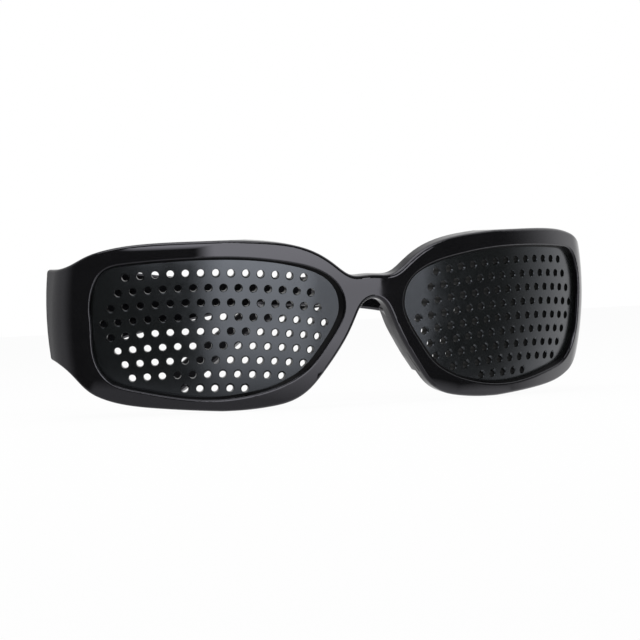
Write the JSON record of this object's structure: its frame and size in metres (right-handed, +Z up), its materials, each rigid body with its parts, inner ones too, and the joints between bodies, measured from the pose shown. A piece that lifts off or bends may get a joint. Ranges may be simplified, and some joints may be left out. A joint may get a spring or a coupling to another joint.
{
  "type": "pinhole glasses",
  "caption": "Wraparound glasses with opaque perforated lenses in a moulded front and two folding temples on barrel hinges.",
  "frame": {"origin": "nose saddle: the middle of the arch under the bridge, halfway through its thickness", "axes": "+Z up along the vertical hinge axes, the front of the glasses faces -Y, the wearer's right is at -X"},
  "size_m": [0.1378, 0.1428, 0.0395],
  "materials": {
    "frame": "polished moulding",
    "lens": "semi-gloss moulding",
    "hinge": "satin",
    "screw": "polished"
  },
  "bodies": {
    "front": {"front_frame": "frame", "pinhole_lens_left": "lens", "pinhole_lens_right": "lens", "hinge_frame_leaf_left": "hinge", "hinge_frame_leaf_right": "hinge", "hinge_screw_left": "screw", "hinge_screw_right": "screw"},
    "right_temple": {"temple_right": "frame", "hinge_temple_leaf_right": "hinge"},
    "left_temple": {"temple_left": "frame", "hinge_temple_leaf_left": "hinge"}
  },
  "joints": [
    {"name": "fold_right", "type": "hinge", "parent": "front", "child": "right_temple", "pos_m": [-0.0631, 0.03138, -0.00081], "axis": [0, 0, 1], "range_deg": [0, 90]},
    {"name": "fold_left", "type": "hinge", "parent": "front", "child": "left_temple", "pos_m": [0.0631, 0.03138, -0.00081], "axis": [0, 0, -1], "range_deg": [-53, 29]}
  ]
}
